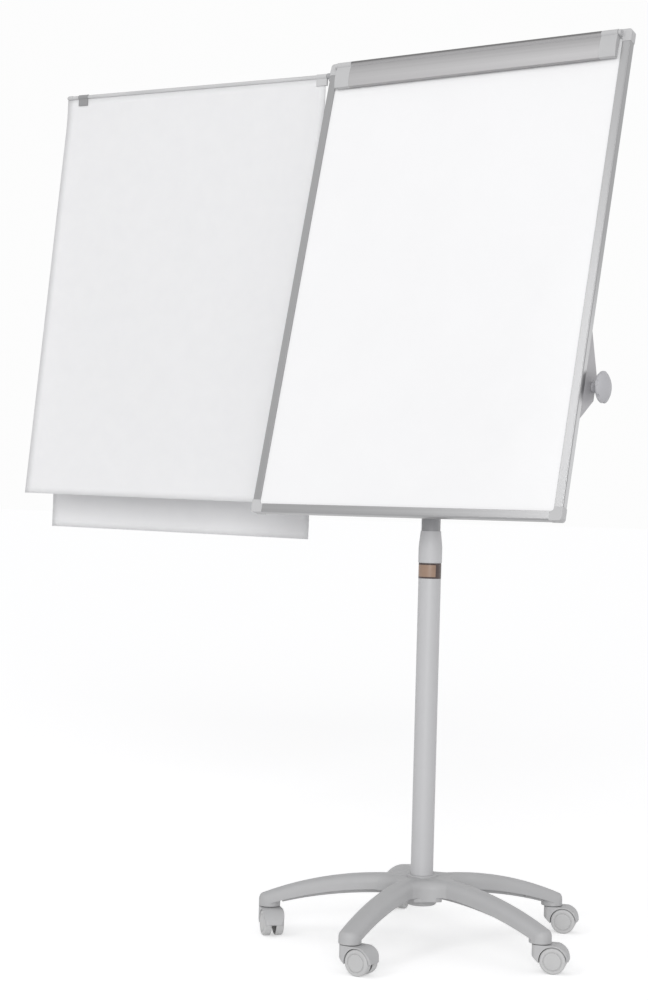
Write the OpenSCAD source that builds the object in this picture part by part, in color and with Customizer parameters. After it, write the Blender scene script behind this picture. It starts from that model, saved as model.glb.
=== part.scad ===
// Mobile flipchart easel: a framed writing board on a tilting head, a telescopic column,
// a five-leg castor base and a swing-out side arm with two hung sheets of paper.
// Origin on the floor under the column; +X to the board's right, -Y to the front, +Z up.

/* [Base] */
// Radius of the circle on which the castor stems stand
castor_circle_r = 308; // [280:1:340]
// Direction of the front leg, from +X
base_turn = -85; // [-95:1:-75]
// Width of a leg
leg_w = 42; // [38:1:46]
// Depth of a leg's flanks at the hub
flank_h = 30; // [28:1:33]
// Depth of a leg's flanks at the castor
flank_end_h = 25; // [22:1:27]
// Depth of the keel under the middle of a leg, at the hub
keel_h = 39; // [36:1:42]
// Thickness of the keel
keel_w = 8; // [5:0.5:12]
// Height of a leg's end over its castor
leg_end_h = 30; // [29:0.5:32]
// Radius of the arc that the top of a leg follows
leg_arc_r = 700; // [660:1:760]
// Distance from the column at which the legs start to fall
leg_arc_x = 50; // [48:1:56]
// Radius of a leg's top edges
leg_edge_r = 16; // [12:1:17]
// Wall of the moulded base
base_wall = 4; // [3:0.5:5]
// Thickness of the cross ribs under a leg
rib_t = 3; // [2:0.5:4]
// Cross ribs under each leg
rib_count = 5; // [3:1:6]
// Outside diameter of the hub's rim round the column
hub_d = 62; // [58:1:70]
// Depth of the hub
hub_h = 60; // [56:1:66]
// Outside diameter of the hub's foot, below the legs
hub_foot_d = 60; // [56:1:66]
// Radius of the web between two neighbouring legs
crotch_r = 50; // [40:1:52]

/* [Castors] */
// Floor to the underside of a leg end
castor_h = 55; // [54:0.5:60]
// Diameter of a wheel
wheel_d = 50; // [46:1:50]
// Width of one wheel
wheel_w = 16; // [13:0.5:18]
// Distance from the stem to the axle
castor_trail = 26; // [24:0.5:30]
// Wall of the hood over the wheels
hood_wall = 3.2; // [2.5:0.1:3.5]
// Thickness of the hood's web between the wheels
hood_web = 8; // [6:0.5:10]
// Diameter of the castor stem
stem_d = 10; // [8:0.5:11]
// Length of the stem inside the leg
stem_len = 24; // [18:1:25]
// Diameter of the axle
axle_d = 6; // [5:0.5:8]

/* [Column] */
// Outside diameter of the lower tube
lower_d = 45; // [44:0.5:48]
// Wall of both column tubes
tube_wall = 1.5; // [1.2:0.1:2]
// Outside diameter of the upper tube
upper_d = 38; // [36:0.5:39]
// Height of the lower tube's top end
lower_top_z = 785; // [760:1:800]
// Length of the upper tube that stays inside the lower one
upper_inside = 305; // [250:1:400]
// Wall of the twist collar's skirt
collar_wall = 0.8; // [0.7:0.1:2.5]
// Height of the straight part of the collar below the tube's end
collar_skirt = 28; // [20:1:40]
// Height of the collar's tapered top
collar_taper = 32; // [24:1:36]

/* [Tilt head] */
// Height of the tilt axis
pivot_z = 1103; // [1080:1:1140]
// Outside diameter of the cross tube
cross_d = 28; // [25:0.5:30]
// Width of the tee on top of the column
tee_w = 84; // [70:1:110]
// Wall of the tee
tee_wall = 4.5; // [3.5:0.5:6]
// Depth of the tee's socket on the upper tube
tee_socket = 36; // [28:1:50]
// Diameter of the tilt knobs
knob_d = 62; // [56:1:66]
// Thickness of a knob's head
knob_t = 18; // [16:0.5:20]
// Finger flutes round a knob
knob_flutes = 7; // [5:1:9]
// Diameter of the clamping studs
stud_d = 8; // [6:0.5:10]

/* [Board] */
// Width of the board over its frame
board_w = 700; // [680:1:760]
// Height of the board over its frame
board_h = 1000; // [960:1:1060]
// Lean of the board from the upright at rest
board_tilt = 15; // [10:0.5:20]
// Tilt axis, up from the board's lower edge
pivot_s = 279; // [264:1:304]
// Tilt axis, back from the front of the frame
pivot_d = 59.5; // [54:0.5:64]
// Face width of the frame rails
rail_w = 18; // [16:0.5:22]
// Depth of the frame rails
rail_d = 18; // [17:0.5:20]
// Lip of the rails over the panel
rail_lip = 3; // [2.5:0.25:3.5]
// Length of a corner cap along each rail
corner_len = 26; // [24:0.5:32]
// Radius of a corner cap's outer corner
corner_r = 6; // [4:0.5:10]
// Thickness of the steel writing surface
sheet_steel_t = 0.6; // [0.5:0.1:1.2]

/* [Side plates] */
// Length of a side plate up the rail from the tilt axis
plate_above = 110; // [95:1:125]
// Length of a side plate down the rail from the tilt axis
plate_below = 80; // [65:1:95]
// Thickness of a side plate
plate_t = 3; // [2:0.5:3.5]
// Width of the flange on the back of the rail
plate_flange_w = 13; // [10:0.5:14]

/* [Clamp bar] */
// Length of the clamp bar over its end caps
clamp_len = 652; // [630:1:668]
// Height of the clamp bar
clamp_h = 58; // [50:1:66]
// Length of each end cap
clamp_cap_len = 35; // [25:1:40]
// Radius of the hinge barrel along the top edge
barrel_r = 7; // [6:0.25:7.5]
// Radius of the bowed front
clamp_bow_r = 75; // [60:1:110]
// Wall of the clamp profile
clamp_wall = 2; // [1.6:0.1:2.4]
// Diameter of the hinge pins
clamp_pin_d = 4; // [3:0.5:5]

/* [Side arm] */
// Length of the arm from its hinge
arm_len = 719; // [714:1:760]
// Diameter of the arm's rod
arm_d = 9; // [8:0.5:10]
// Forward swing of the arm at rest
arm_swing = 3.1; // [0:0.1:8]
// Hinge of the arm, out from the frame's edge
arm_out = 11; // [10:0.5:14]
// Hinge of the arm, down from the board's top edge
arm_down = 13; // [12:0.5:16]
// Diameter of the hinge pin
arm_pin_d = 5; // [4:0.5:6]
// Width of the paper clips
clip_w = 26; // [20:1:32]
// Drop of a clip's jaws below the rod's centre
clip_drop = 20; // [16:1:26]

/* [Paper] */
// Width of a sheet
paper_w = 700; // [600:1:702]
// Length of the rear sheet
rear_len = 1000; // [900:1:1010]
// Length of the front sheet
front_len = 930; // [860:1:1000]
// Forward lean of the front sheet below its clips
front_lean = 6.9; // [3:0.1:10]
// Thickness of a sheet
paper_t = 0.4; // [0.3:0.05:0.5]

/* [Hidden] */
$fn = 96;
// Fragments of the legs' long arcs
arc_fn = 720;
leg_count = 5;
castor_names = ["front", "right", "rear_right", "rear_left", "left"];
// Direction in which each castor trails, from +X
castor_trails = [0, 19, 19, 100, -43];
castor_pieces = ["hood", "pins", "wheel_a", "wheel_b"];
sides = [-1, 1];

// Gaps between pieces: in one assembly, of a running fit, between faces that pass each other
seat_gap = 0.1;
run_gap = 0.2;
rub_gap = 0.3;
// How far a cutter passes through the face that it opens
past = 1;

// Base
leg_fall = castor_circle_r - leg_arc_x;
leg_lift = 0.8;
leg_below = 3;
boss_lap = 0.6;
boss_r = leg_w / 2 + boss_lap;
leg_mid_z = castor_h + leg_end_h - sqrt(pow(leg_arc_r, 2) - pow(leg_fall, 2));
leg_top_z = leg_mid_z + leg_arc_r;
leg_span = asin(leg_fall / leg_arc_r);
leg_root = asin((leg_arc_x - lower_d / 2 - base_wall) / leg_arc_r);
leg_past = asin((leg_fall + 2 * boss_r) / leg_arc_r);
pocket_end = asin((leg_fall - leg_w / 2) / leg_arc_r);
leg_end_in = 4;
leg_end_over = 1;
leg_end_r = leg_edge_r + leg_end_over;
leg_end_z = leg_mid_z + sqrt(pow(leg_arc_r, 2) - pow(leg_fall + leg_end_in, 2)) + boss_lap;
flank_top_z = leg_top_z - flank_h;
flank_drop = flank_top_z - castor_h - leg_end_h + flank_end_h;
keel_top_z = leg_top_z - keel_h;
keel_drop = keel_top_z - castor_h - leg_lift;
keel_in = asin(base_wall / leg_arc_r);
rib_reach = 0.9;
hub_rise = 2;
hub_edge_r = 1.5;
hub_foot_edge_r = 4;
hub_top_z = leg_top_z + hub_rise;
hub_bottom_z = hub_top_z - hub_h;
hub_floor_t = 8;
bolt_d = 10;
bolt_head_d = 17;
bolt_head_h = 7;
bolt_flange_d = 24;
bolt_flange_t = 2;
bolt_recess_spare = 1;
bolt_recess = bolt_head_h + bolt_flange_t + bolt_recess_spare;
bolt_recess_gap = 2;
bolt_recess_d = bolt_flange_d + 2 * bolt_recess_gap;
web_bite = 1;
web_drop = 2;
web_sink = 2;
web_edge_cut = 0.5;
web_top_z = leg_top_z - web_sink;
web_bottom_z = keel_top_z - web_drop;
crotch_c = (leg_w / 2 - web_bite + crotch_r) / sin(180 / leg_count);
crotch_reach = crotch_c * cos(180 / leg_count);
web_r = crotch_c - crotch_r + base_wall;

// Castors
wheel_r = wheel_d / 2;
wheel_gap = 1.2;
wheel_edge_r = 3.5;
wheel_shell = 3;
wheel_hub_r = 7;
wheel_ring_r = 16;
wheel_ring_w = 2;
wheel_ring_depth = 1.2;
wheel_inner = hood_web / 2 + rub_gap;
stem_flange_t = 1.5;
stem_in = 14;
hood_top_z = castor_h - stem_flange_t;
hood_w = 2 * (wheel_inner + wheel_w + rub_gap);
hood_r = wheel_r + wheel_gap + hood_wall;
neck_r = 14;
neck_heel_z = 33;
neck_toe_z = 20;
axle_boss_r = 7;
hood_edge_r = 9;
stem_flange_r = 8.5;

// Column
lower_bore = lower_d - 2 * tube_wall;
lower_bottom_z = hub_bottom_z + bolt_recess + hub_floor_t + seat_gap;
tube_foot_t = 6;
tee_seat = 2;
upper_top_z = pivot_z - cross_d / 2 - tee_seat;
upper_bottom_z = lower_top_z - upper_inside;
glide_len = 34;
glide_floor_t = 3;
bush_len = 42;
bush_flange_t = 3;
bush_cone_h = 11;
bush_cone_wall = 0.8;
bush_cone_flare = 1;
bush_cone_top_r = upper_d / 2 + run_gap + bush_cone_wall;
bush_cone_base_r = bush_cone_top_r + bush_cone_flare;
bush_slit_w = 2;
bush_slits = 4;
collar_d = lower_d + 2 * (rub_gap + collar_wall);
collar_top_z = lower_top_z + bush_flange_t + collar_taper;
collar_lip_wall = 1;
collar_top_d = upper_d + 2 * (rub_gap + collar_lip_wall);

// Tilt head
tee_r = cross_d / 2 + tee_wall + seat_gap;
socket_r = upper_d / 2 + tee_wall + seat_gap;
plate_inset = 4;
plate_x = board_w / 2 - plate_inset - plate_t;
plug_flange_t = 3;
plug_flange_lip = 3;
plug_flange_r = cross_d / 2 + plug_flange_lip;
plug_len = 30;
cross_half = plate_x - run_gap - plug_flange_t;
knob_boss_r = 10.5;
knob_boss_t = 16;
knob_rim_r = 5;
knob_dome_r = 48;
flute_r = 9;
flute_depth = 3;
knob_x = plate_x + plate_t + rub_gap;
stud_short = 4;
stud_end = plate_x - plug_len + stud_short;

// Board
half_w = board_w / 2;
panel_t = rail_d - 2 * rail_lip;
core_t = panel_t - sheet_steel_t;
groove = 11;
rail_edge_r = 3;
chamber_w = 3.4;
chamber_inset = 1.8;
cap_proud = 0.4;
corner_fillet = 6;
tongue_len = 22;
panel_gap = 0.5;
panel_half_w = half_w - rail_w + groove - panel_gap;
panel_edge = rail_w - groove + panel_gap;

// Side plates
plate_apex_half = 24;
plate_apex_d = 70;
plate_eye_r = 14;

// Clamp bar
clamp_down = 4;
clamp_top_s = board_h - clamp_down;
barrel_s = clamp_top_s - barrel_r;
clamp_back_d = -1;
barrel_d = clamp_back_d - run_gap - barrel_r;
clamp_bottom_s = clamp_top_s - clamp_h;
clamp_front_in = 0.5;
clamp_front_d = barrel_d - barrel_r + clamp_front_in;
clamp_bow_s = (clamp_bottom_s + barrel_s) / 2;
clamp_tongue = 14;
grip_h = 9;
grip_inset = 3;
grip_end = 14;
grip_half = clamp_len / 2 - grip_end;
lug_t = 5;
lug_gap = 0.6;
lug_r = 6;
lug_x = clamp_len / 2 + lug_gap;
clamp_pin_in = 12;

// Side arm
arm_x = -half_w - arm_out;
arm_back = 7;
arm_hinge_d = rail_d + arm_back;
arm_s = board_h - arm_down;
knuckle_r = 6.5;
knuckle_h = 14;
ear_t = 5;
bracket_t = 3;
bracket_w = 20;
bracket_in = 2;
bracket_h = 2 * (ear_t + rub_gap) + knuckle_h;
sleeve_len = 12;
clip_wall = 1.3;
clip_jaw_t = 2;
clip_gap = 2.2;
clip_root_gap = 1;
clip_inner_x = sleeve_len + clip_root_gap + clip_w / 2;

// Paper
paper_in = 4;
paper_start = clip_inner_x - clip_w / 2 + paper_in;
paper_past_clip = 33;
clip_outer_x = paper_start + paper_w - paper_past_clip - clip_w / 2;
paper_under = 2;
paper_top = -arm_d / 2 - paper_under;
paper_bend_drop = 3;
paper_bend_z = -clip_drop - paper_bend_drop;
paper_y = 0.35;
bend_steps = 6;
bend_len = 60;

// A point of the board, across, back from its front and up from its lower edge, in the part's frame
function board_point(x, d, s) = [
  x,
  (d - pivot_d) * cos(board_tilt) + (s - pivot_s) * sin(board_tilt),
  pivot_z - (d - pivot_d) * sin(board_tilt) + (s - pivot_s) * cos(board_tilt)];

// Places children drawn across, back and up from the middle of the board's lower front edge
module on_board() {
  translate([0, 0, pivot_z])
    rotate([-board_tilt, 0, 0])
      translate([0, -pivot_d, -pivot_s])
        children();
}

// Places children drawn along the arm from its hinge, with the hinge upright
module on_arm() {
  on_board()
    translate([arm_x, arm_hinge_d, arm_s])
      rotate([0, 0, 180 + arm_swing])
        children();
}

// Places children drawn along the arm from its hinge, with the true vertical up
arm_dir = [
  -cos(arm_swing),
  -sin(arm_swing) * cos(board_tilt),
  sin(arm_swing) * sin(board_tilt)];
module under_arm() {
  translate(board_point(arm_x, arm_hinge_d, arm_s))
    rotate([0, -asin(arm_dir[2]), atan2(arm_dir[1], arm_dir[0])])
      children();
}

// Draws a profile in the (d, s) plane of the board along X, from x0 to x1
module board_bar(x0, x1) {
  translate([x0, 0, 0])
    rotate([90, 0, 90])
      linear_extrude(x1 - x0)
        children();
}

// Turns children to stand along +X from the tilt axis on the given side
module on_tilt_axis(side) {
  translate([0, 0, pivot_z])
    mirror([side < 0 ? 1 : 0, 0, 0])
      rotate([0, 90, 0])
        children();
}

// Base

// A leg's section: radius across, width up, with rounded top edges; it can be set in from the outside
module leg_section(depth, inset = 0) {
  r = leg_edge_r - inset;
  half = leg_w / 2 - inset;
  round_at = leg_arc_r - leg_edge_r;
  translate([leg_arc_r - depth, -half])
    square([depth - leg_edge_r, 2 * half]);
  translate([round_at, -half + r])
    square([r, 2 * (half - r)]);
  for (side = sides)
    translate([round_at, side * (half - r)])
      circle(r);
}

// Sweeps a section along the leg's arc between two angles from the upright
module along_leg(from, to) {
  translate([leg_arc_x, 0, leg_mid_z])
    rotate([90, 0, 0])
      rotate([0, 0, 90 - to])
        rotate_extrude(angle = to - from, $fn = arc_fn)
          children();
}

// The space below an arc that falls by drop from the hub to the castor
module below_leg(top, drop) {
  r = (pow(leg_fall, 2) + pow(drop, 2)) / (2 * drop);
  translate([leg_arc_x, leg_w, top - r])
    rotate([90, 0, 0])
      cylinder(r = r, h = 2 * leg_w, $fn = arc_fn);
}

// The post over a castor, with its top rounded over
module leg_end() {
  translate([castor_circle_r, 0, 0])
    rotate_extrude() {
      translate([0, castor_h])
        square([boss_r, leg_end_z - leg_end_r - castor_h]);
      translate([0, castor_h])
        square([boss_r - leg_end_r, leg_end_z - castor_h]);
      translate([boss_r - leg_end_r, leg_end_z - leg_end_r])
        intersection() {
          circle(leg_end_r);
          square(leg_end_r);
        }
    }
}

module leg_shell() {
  intersection() {
    along_leg(-leg_root, leg_past)
      leg_section(keel_h + leg_below);
    union() {
      difference() {
        translate([0, -leg_w, 0])
          cube([castor_circle_r + leg_end_in, 2 * leg_w, 2 * leg_top_z]);
        below_leg(flank_top_z, flank_drop);
      }
      leg_end();
    }
  }
}

// The hollow under a leg, between the hub and the post
module leg_pocket() {
  along_leg(0, pocket_end)
    leg_section(keel_h + 2 * leg_below, base_wall);
}

// The keel and the cross ribs in the hollow
module leg_ribs() {
  rib_angle = rib_t / leg_arc_r * 180 / PI;
  difference() {
    along_leg(-keel_in, pocket_end + keel_in)
      translate([leg_arc_r - keel_h - leg_below, -keel_w / 2])
        square([keel_h + leg_below - base_wall / 2, keel_w]);
    below_leg(keel_top_z, keel_drop);
  }
  for (n = [1 : rib_count]) {
    at = leg_span * rib_reach * n / (rib_count + 1);
    along_leg(at, at + rib_angle)
      leg_section(flank_end_h - base_wall, base_wall / 2);
  }
}

// The hub: a rim round the column, and a foot below the legs
module hub_body() {
  rotate_extrude() {
    translate([0, web_bottom_z])
      square([hub_d / 2, hub_top_z - hub_edge_r - web_bottom_z]);
    translate([0, web_bottom_z])
      square([hub_d / 2 - hub_edge_r, hub_top_z - web_bottom_z]);
    translate([hub_d / 2 - hub_edge_r, hub_top_z - hub_edge_r])
      circle(hub_edge_r);
    translate([0, hub_bottom_z + hub_foot_edge_r])
      square([hub_foot_d / 2, hub_h / 2]);
    translate([0, hub_bottom_z])
      square([hub_foot_d / 2 - hub_foot_edge_r, hub_h / 2]);
    translate([hub_foot_d / 2 - hub_foot_edge_r, hub_bottom_z + hub_foot_edge_r])
      circle(hub_foot_edge_r);
  }
}

// The web that joins the legs to the hub, hollowed between neighbouring legs with a rounded top edge
module hub_web() {
  edge_z = web_top_z - leg_edge_r + web_edge_cut;
  difference() {
    union() {
      translate([0, 0, flank_top_z - web_drop])
        cylinder(r = crotch_reach, h = web_top_z - flank_top_z + web_drop);
      translate([0, 0, web_bottom_z])
        cylinder(r = web_r, h = flank_top_z - web_bottom_z);
    }
    for (n = [0 : leg_count - 1])
      rotate(base_turn + (n + 0.5) * 360 / leg_count)
        translate([crotch_c, 0, 0])
          rotate_extrude() {
            translate([0, web_bottom_z - past])
              square([crotch_r, leg_top_z - web_bottom_z + 2 * past]);
            difference() {
              translate([0, edge_z])
                square([crotch_r + leg_edge_r, leg_edge_r]);
              translate([crotch_r + leg_edge_r, edge_z])
                circle(leg_edge_r);
            }
          }
  }
}

module base_star() {
  color("darkgray") {
    difference() {
      union() {
        hub_body();
        hub_web();
        for (n = [0 : leg_count - 1])
          rotate(base_turn + n * 360 / leg_count)
            leg_shell();
      }
      translate([0, 0, hub_bottom_z + bolt_recess + hub_floor_t])
        cylinder(d = lower_d + 2 * seat_gap, h = hub_h);
      translate([0, 0, hub_bottom_z - past])
        cylinder(d = bolt_d + 2 * run_gap, h = hub_h);
      translate([0, 0, hub_bottom_z - past])
        cylinder(d = bolt_recess_d, h = bolt_recess + past);
      for (n = [0 : leg_count - 1])
        rotate(base_turn + n * 360 / leg_count) {
          leg_pocket();
          translate([castor_circle_r, 0, castor_h - past])
            cylinder(d = stem_d + 2 * run_gap, h = stem_len + past + run_gap);
        }
    }
    for (n = [0 : leg_count - 1])
      rotate(base_turn + n * 360 / leg_count)
        leg_ribs();
  }
}

module column_bolt() {
  color("gray")
    translate([0, 0, hub_bottom_z + bolt_recess]) {
      translate([0, 0, -bolt_flange_t])
        cylinder(d = bolt_flange_d, h = bolt_flange_t);
      translate([0, 0, -bolt_flange_t - bolt_head_h])
        cylinder(d = bolt_head_d, h = bolt_head_h, $fn = 6);
      cylinder(d = bolt_d, h = hub_floor_t + tube_foot_t);
    }
}

// Castors

// Places children drawn with the stem on Z and the trail along +X at castor n
module at_castor(n) {
  rotate(base_turn + n * 360 / leg_count)
    translate([castor_circle_r, 0, 0])
      rotate(castor_trails[n] - base_turn - n * 360 / leg_count)
        children();
}

// Draws a side profile of the castor, x along the trail and y up, across the given width
module castor_side(width, middle = 0) {
  translate([0, middle + width / 2, 0])
    rotate([90, 0, 0])
      linear_extrude(width)
        children();
}

module hood_outline() {
  intersection() {
    translate([castor_trail, wheel_r])
      circle(hood_r);
    translate([-castor_trail, wheel_r])
      square([3 * castor_trail + hood_r, hood_top_z - wheel_r]);
  }
  polygon([
    [-neck_r, neck_heel_z],
    [-neck_r, hood_top_z],
    [castor_trail, hood_top_z],
    [castor_trail, wheel_r],
    [0, neck_toe_z]]);
}

module hood_plan() {
  length = neck_r + castor_trail + hood_r;
  translate([-neck_r + hood_edge_r, -hood_w / 2])
    square([length - 2 * hood_edge_r, hood_w]);
  translate([-neck_r, -hood_w / 2 + hood_edge_r])
    square([length, hood_w - 2 * hood_edge_r]);
  for (x = [-neck_r + hood_edge_r, length - neck_r - hood_edge_r], side = sides)
    translate([x, side * (hood_w / 2 - hood_edge_r)])
      circle(hood_edge_r);
}

module castor_hood(n) {
  color("lightgray")
    at_castor(n)
      difference() {
        union() {
          intersection() {
            castor_side(hood_w)
              hood_outline();
            linear_extrude(castor_h)
              hood_plan();
          }
          castor_side(hood_web)
            translate([castor_trail, wheel_r])
              circle(axle_boss_r);
        }
        for (side = sides)
          castor_side(hood_w, side * (hood_web + hood_w) / 2)
            translate([castor_trail, wheel_r])
              circle(wheel_r + wheel_gap);
        translate([0, 0, hood_top_z - stem_in - seat_gap])
          cylinder(d = stem_d + 2 * seat_gap, h = stem_in + seat_gap + past);
        castor_side(2 * hood_w)
          translate([castor_trail, wheel_r])
            circle(axle_d / 2 + seat_gap);
      }
}

module castor_pins(n) {
  color("dimgray")
    at_castor(n) {
      stem_bottom = hood_top_z - stem_in;
      translate([0, 0, stem_bottom])
        cylinder(d = stem_d, h = castor_h + stem_len - stem_bottom);
      translate([0, 0, hood_top_z])
        cylinder(r = stem_flange_r, h = castor_h - hood_top_z - run_gap);
      castor_side(2 * (wheel_inner + wheel_w - wheel_shell))
        translate([castor_trail, wheel_r])
          circle(axle_d / 2);
    }
}

// Half section of a wheel: radius across, from its inner face up to its outer face
module wheel_section() {
  bore = axle_d / 2 + run_gap;
  difference() {
    union() {
      translate([0, wheel_edge_r])
        square([wheel_r, wheel_w - 2 * wheel_edge_r]);
      square([wheel_r - wheel_edge_r, wheel_w]);
      for (y = [wheel_edge_r, wheel_w - wheel_edge_r])
        translate([wheel_r - wheel_edge_r, y])
          circle(wheel_edge_r);
    }
    translate([0, -past])
      square([bore, wheel_w - wheel_shell + past + run_gap]);
    translate([wheel_hub_r, -past])
      square([wheel_r - wheel_shell - wheel_hub_r, wheel_w - wheel_shell + past]);
    translate([wheel_ring_r, wheel_w - wheel_ring_depth])
      square([wheel_ring_w, wheel_ring_depth + past]);
  }
}

module castor_wheel(n, side) {
  color("silver")
    at_castor(n)
      translate([castor_trail, side * wheel_inner, wheel_r])
        rotate([-90 * side, 0, 0])
          rotate_extrude()
            wheel_section();
}

// Column

module lower_tube() {
  color("lightgray")
    translate([0, 0, lower_bottom_z])
      difference() {
        cylinder(d = lower_d, h = lower_top_z - lower_bottom_z);
        translate([0, 0, tube_foot_t])
          cylinder(d = lower_bore, h = lower_top_z);
        translate([0, 0, -past])
          cylinder(d = bolt_d + 2 * seat_gap, h = tube_foot_t + 2 * past);
      }
}

module guide_bush() {
  inner = upper_d / 2 + run_gap;
  outer = lower_bore / 2 - seat_gap;
  color("dimgray")
    translate([0, 0, lower_top_z])
      difference() {
        rotate_extrude()
          polygon([
            [inner, -bush_len],
            [outer, -bush_len],
            [outer, 0],
            [lower_d / 2, 0],
            [lower_d / 2, bush_flange_t],
            [bush_cone_base_r, bush_flange_t],
            [bush_cone_top_r, bush_flange_t + bush_cone_h],
            [inner, bush_flange_t + bush_cone_h]]);
        for (n = [0 : bush_slits - 1])
          rotate(n * 360 / bush_slits)
            translate([0, -bush_slit_w / 2, bush_flange_t + rub_gap])
              cube([lower_d, bush_slit_w, bush_cone_h]);
      }
}

module lock_collar() {
  skirt_r = lower_d / 2 + rub_gap;
  flange_top = lower_top_z + bush_flange_t;
  cone_gap = rub_gap + seat_gap;
  color("lightgray")
    rotate_extrude()
      polygon([
        [skirt_r, lower_top_z - collar_skirt],
        [collar_d / 2, lower_top_z - collar_skirt],
        [collar_d / 2, flange_top],
        [collar_top_d / 2, collar_top_z],
        [upper_d / 2 + rub_gap, collar_top_z],
        [upper_d / 2 + rub_gap, flange_top + bush_cone_h + cone_gap],
        [bush_cone_top_r + cone_gap, flange_top + bush_cone_h + cone_gap],
        [bush_cone_base_r + cone_gap, flange_top + rub_gap],
        [skirt_r, flange_top + rub_gap]]);
}

module upper_tube() {
  color("silver")
    translate([0, 0, upper_bottom_z])
      difference() {
        cylinder(d = upper_d, h = upper_top_z - upper_bottom_z);
        translate([0, 0, -past])
          cylinder(d = upper_d - 2 * tube_wall, h = upper_top_z - upper_bottom_z + 2 * past);
      }
}

module upper_glide() {
  color("dimgray")
    translate([0, 0, upper_bottom_z - glide_floor_t])
      difference() {
        cylinder(d = lower_bore - 2 * run_gap, h = glide_len);
        translate([0, 0, glide_floor_t])
          cylinder(d = upper_d + 2 * seat_gap, h = glide_len);
      }
}

// Tilt head

module tee_head() {
  color("gray")
    difference() {
      union() {
        translate([-tee_w / 2, 0, pivot_z])
          rotate([0, 90, 0])
            cylinder(r = tee_r, h = tee_w);
        translate([0, 0, upper_top_z - tee_socket])
          cylinder(r = socket_r, h = pivot_z - upper_top_z + tee_socket);
      }
      translate([-tee_w, 0, pivot_z])
        rotate([0, 90, 0])
          cylinder(d = cross_d + 2 * seat_gap, h = 2 * tee_w);
      translate([0, 0, upper_top_z - tee_socket - past])
        cylinder(d = upper_d + 2 * seat_gap, h = tee_socket + past + seat_gap);
    }
}

module cross_tube() {
  color("silver")
    translate([-cross_half, 0, pivot_z])
      rotate([0, 90, 0])
        difference() {
          cylinder(d = cross_d, h = 2 * cross_half);
          translate([0, 0, -past])
            cylinder(d = cross_d - 2 * tube_wall, h = 2 * (cross_half + past));
        }
}

module cross_tube_plugs() {
  color("dimgray")
    for (side = sides)
      on_tilt_axis(side)
        difference() {
          union() {
            translate([0, 0, cross_half - plug_len + plug_flange_t])
              cylinder(r = cross_d / 2 - tube_wall - seat_gap, h = plug_len - plug_flange_t);
            translate([0, 0, cross_half])
              cylinder(r = plug_flange_r, h = plug_flange_t);
          }
          translate([0, 0, cross_half - plug_len])
            cylinder(d = stud_d + 2 * run_gap, h = 2 * plug_len);
        }
}

module tilt_knob(side) {
  color("darkgray")
    on_tilt_axis(side)
      translate([0, 0, knob_x])
        difference() {
          intersection() {
            rotate_extrude() {
              square([knob_boss_r, knob_boss_t + knob_rim_r]);
              translate([0, knob_boss_t + knob_rim_r])
                square([knob_d / 2, knob_t - knob_rim_r]);
              translate([0, knob_boss_t])
                square([knob_d / 2 - knob_rim_r, knob_t]);
              translate([knob_d / 2 - knob_rim_r, knob_boss_t + knob_rim_r])
                circle(knob_rim_r);
            }
            translate([0, 0, knob_boss_t + knob_t - knob_dome_r])
              sphere(knob_dome_r);
          }
          translate([0, 0, -past])
            cylinder(d = stud_d + 2 * seat_gap, h = knob_boss_t + knob_rim_r + past);
          for (n = [0 : knob_flutes - 1])
            rotate(n * 360 / knob_flutes)
              translate([knob_d / 2 + flute_r - flute_depth, 0, knob_boss_t - past])
                cylinder(r = flute_r, h = knob_t + 2 * past);
        }
}

module tilt_stud(side) {
  color("gray")
    on_tilt_axis(side)
      translate([0, 0, stud_end])
        cylinder(d = stud_d, h = knob_x + knob_boss_t + knob_rim_r - stud_end - seat_gap);
}

module side_plate(side) {
  color("darkgray")
    on_board()
      mirror([side < 0 ? 1 : 0, 0, 0])
        difference() {
          union() {
            board_bar(plate_x, plate_x + plate_t) {
              polygon([
                [rail_d, pivot_s - plate_below],
                [rail_d, pivot_s + plate_above],
                [plate_apex_d, pivot_s + plate_apex_half],
                [plate_apex_d, pivot_s - plate_apex_half]]);
              translate([pivot_d, pivot_s])
                circle(plate_eye_r);
            }
            translate([plate_x + plate_t - plate_flange_w, rail_d, pivot_s - plate_below])
              cube([plate_flange_w, plate_t, plate_below + plate_above]);
          }
          translate([0, pivot_d, pivot_s])
            rotate([0, 90, 0])
              cylinder(d = stud_d + 2 * rub_gap, h = board_w);
        }
}

// Board

// A rail's section: x in from the outer edge, y back from the front
module rail_section() {
  difference() {
    union() {
      translate([rail_edge_r, 0])
        square([rail_w - rail_edge_r, rail_d]);
      translate([0, rail_edge_r])
        square([rail_w, rail_d - 2 * rail_edge_r]);
      for (y = [rail_edge_r, rail_d - rail_edge_r])
        translate([rail_edge_r, y])
          circle(rail_edge_r);
    }
    translate([rail_w - groove, rail_lip - seat_gap])
      square([groove + past, panel_t + 2 * seat_gap]);
    translate([chamber_inset, rail_lip])
      square([chamber_w, panel_t]);
  }
}

module side_rail(side) {
  color("silver")
    on_board()
      mirror([side > 0 ? 1 : 0, 0, 0])
        translate([-half_w, 0, corner_len])
          linear_extrude(board_h - 2 * corner_len)
            rail_section();
}

module end_rail(upper) {
  color("silver")
    on_board()
      translate([-half_w + corner_len, 0, upper ? board_h : 0])
        mirror([0, 0, upper ? 1 : 0])
          rotate([90, 0, 90])
            linear_extrude(board_w - 2 * corner_len)
              mirror([1, -1])
                rail_section();
}

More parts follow.
